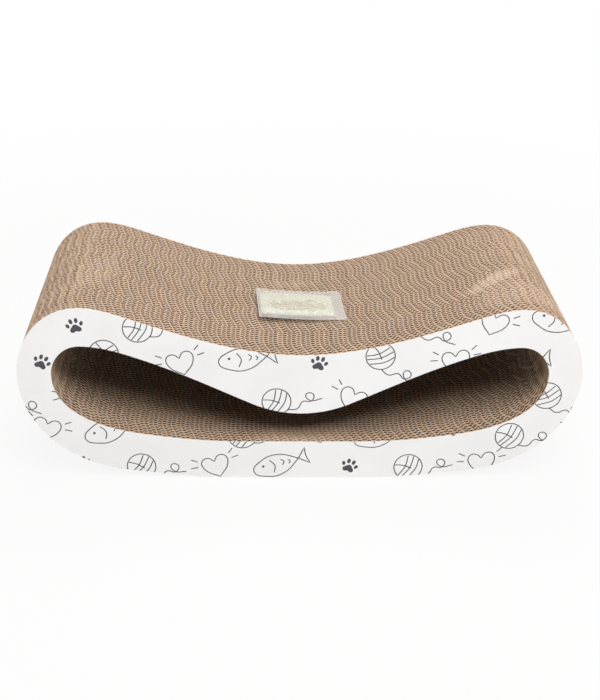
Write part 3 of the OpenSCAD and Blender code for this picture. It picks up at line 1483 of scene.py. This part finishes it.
@dataclass(frozen=True)
class PhotoCamera:
    """The camera that took the photograph, as fitted to its outlines."""

    place: tuple[float, float, float] = (-44.81 * MM, -1106.06 * MM, 591.15 * MM)
    pitch: float = 25.0907
    yaw: float = 2.4522
    roll: float = -1.2221
    focal_pixels: float = 1347.16
    frame_height: int = 700
    sensor: float = 36.0

    def build(self) -> None:
        """Adds the camera and makes it the scene's."""
        pitch, yaw, roll = (math.radians(a) for a in (self.pitch, self.yaw, self.roll))
        ahead = Vector(
            (math.sin(yaw) * math.cos(pitch), math.cos(yaw) * math.cos(pitch), -math.sin(pitch))
        )
        level = Vector((math.cos(yaw), -math.sin(yaw), 0))
        below = ahead.cross(level)
        right = level * math.cos(roll) + below * math.sin(roll)
        down = below * math.cos(roll) - level * math.sin(roll)
        bpy.ops.object.camera_add()
        camera = bpy.context.object
        camera.name = "photo_camera"
        camera.data.sensor_width = self.sensor
        camera.data.lens = self.focal_pixels * self.sensor / self.frame_height
        camera.data.clip_end = 20
        axes = Matrix((right, -down, -ahead)).transposed()
        camera.matrix_world = Matrix.Translation(self.place) @ axes.to_4x4()
        bpy.context.scene.camera = camera


@dataclass(frozen=True)
class Softbox:
    """A large square lamp that faces a point over the floor."""

    name: str
    place: tuple[float, float, float]
    size: float
    watts: float
    aim: tuple[float, float, float] = (0.0, 0.0, 0.06)

    def build(self) -> None:
        """Adds the lamp."""
        bpy.ops.object.light_add(type="AREA", location=self.place)
        lamp = bpy.context.object
        lamp.name = self.name
        lamp.data.size = self.size
        lamp.data.energy = self.watts
        facing = Vector(self.aim) - Vector(self.place)
        lamp.rotation_euler = facing.to_track_quat("-Z", "Y").to_euler()


@dataclass(frozen=True)
class Studio:
    """A white sweep of floor, two softboxes and a dim surround."""

    floor_size: float = 8.0
    floor_white: str = "#c9c8c6"
    glow: str = "#ffffff"
    floor_glow: float = 0.91
    fade_out: Pair = (0.4, 1.2)
    surround: float = 0.1
    softboxes: tuple[Softbox, ...] = (
        Softbox("key_softbox", (0.35, -1.5, 2.6), 2.0, 112.0),
        Softbox("back_softbox", (0.2, 1.3, 2.2), 1.2, 30.0),
    )

    def build(self) -> None:
        """Adds the floor, the lamps and the world."""
        bpy.ops.mesh.primitive_plane_add(size=self.floor_size)
        floor = bpy.context.object
        floor.name = "studio_floor"
        Bench.dress(floor, self._floor_paint())
        for softbox in self.softboxes:
            softbox.build()
        self._world()
        bpy.context.scene.view_settings.view_transform = "Standard"

    def _floor_paint(self) -> Material:
        """Floor that shows nearly white to the eye and still takes the object's shadow."""
        paint = Paint.named("studio_floor_paint")
        glow = paint.node("ShaderNodeEmission", None, {"Color": srgb(self.glow), "Strength": 1.0})
        x, y, _ = paint.split(paint.place())
        away = (x * x + y * y).maths("SQRT").smooth(*self.fade_out)
        share = paint.shown() * away.spread(self.floor_glow, 1)
        shaders = {0: share, 1: paint.surface.outputs[0], 2: glow.outputs[0]}
        mixed = paint.node("ShaderNodeMixShader", None, shaders)
        paint.feed(paint.tree.nodes["Material Output"].inputs["Surface"], mixed.outputs[0])
        return paint.finish(srgb(self.floor_white), roughness=1.0, shine=0.0)

    def _world(self) -> None:
        """World that is white to the eye and dim as a light."""
        world = bpy.data.worlds.new("studio")
        bpy.context.scene.world = world
        paint = Paint(world)
        ground = paint.tree.nodes["Background"]
        paint.feed(ground.inputs["Color"], (1, 1, 1, 1))
        paint.feed(ground.inputs["Strength"], paint.shown().spread(self.surround, 1))


def main() -> None:
    """Builds the scratcher, its covers and packet, then the studio round them."""
    logging.basicConfig(level=logging.INFO, format="%(message)s")
    PhotoCamera().build()
    # Each scuff's place across and back, half length and width, turn and strength
    scuffs = (
        Scuff(170 * MM, -28 * MM, 36 * MM, 10 * MM, 38, 0.8),
        Scuff(186 * MM, -62 * MM, 42 * MM, 28 * MM, 20, 0.35),
        Scuff(-176 * MM, -20 * MM, 40 * MM, 18 * MM, 75, 0.3),
        Scuff(-6 * MM, 52 * MM, 26 * MM, 9 * MM, 0, 0.25),
    )
    outline = RingOutline()
    walls = KraftPaper(
        name="kraft_walls",
        light="#d3b59a",
        dark="#bfa187",
        rubbed="#d0b79e",
        scuffs=scuffs,
        # Dark brown of the painted shade far down in the flutes
        painted_shade_colour="#3c2818",
        depth=PaintedFluteShade(outline),
    ).make()
    edges = KraftPaper(
        name="kraft_cut_edges", light="#dac4ae", dark="#c7af98", rubbed="#e2ceb9", scuffs=scuffs
    ).make()
    packet = CatnipPacket(outline)
    dust = DriedHerb("leaf_dust", pale="#d6d3c0", dark="#c2bc9d").make()
    leaf = DriedHerb("crushed_leaf", pale="#c4aa48", dark="#8c762e").make()
    stalk = DriedHerb("dried_stalk", pale="#bb8e38", dark="#805c1d").make()
    packet.build(MilkyFilm(packet).make())
    CatnipFilling(packet).build(dust, leaf, stalk)
    paper, ink = CoverPaper().make(), PrintInk().make()
    for node, outward in (("front_cover", -1), ("back_cover", 1)):
        Cover(node, outline, outward).build(paper, edges, ink)
    BoardStack(outline).build(walls, edges)
    Studio().build()


if __name__ == "__main__":
    main()
